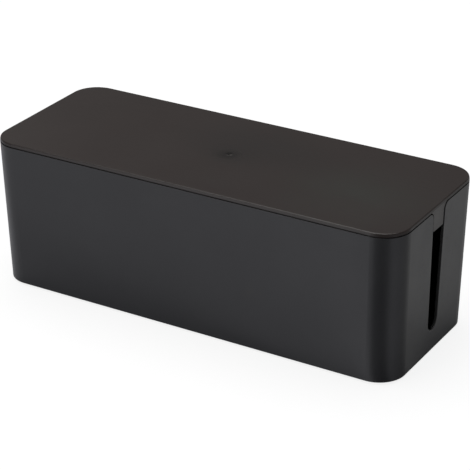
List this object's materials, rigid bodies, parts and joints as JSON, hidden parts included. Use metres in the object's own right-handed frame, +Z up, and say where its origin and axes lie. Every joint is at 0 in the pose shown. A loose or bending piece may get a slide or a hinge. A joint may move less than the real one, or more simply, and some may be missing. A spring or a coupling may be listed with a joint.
{
  "type": "cable management box",
  "caption": "Long moulded box with drafted walls, a flush lift-off lid and a cable slot in each end, for hiding a power strip and its cords.",
  "frame": {"origin": "centre of the box's footprint, on the surface that its feet stand on", "axes": "+X along the box, +Y from the front long side to the back, +Z up through the lid"},
  "size_m": [0.4068, 0.1574, 0.1414],
  "materials": {
    "tub_plastic": "black, fine even texture",
    "lid_plastic": "black, fine even texture",
    "foot_rubber": "dull black rubber"
  },
  "bodies": {
    "tub_body": {"tub": "tub_plastic", "foot_front_left": "foot_rubber", "foot_front_right": "foot_rubber", "foot_back_left": "foot_rubber", "foot_back_right": "foot_rubber"},
    "lid_body": {"lid": "lid_plastic"}
  },
  "joints": [
    {"name": "lid_lift", "type": "slide", "parent": "tub_body", "child": "lid_body", "axis": [0, 0, 1], "range_m": [0, 0.15]}
  ]
}
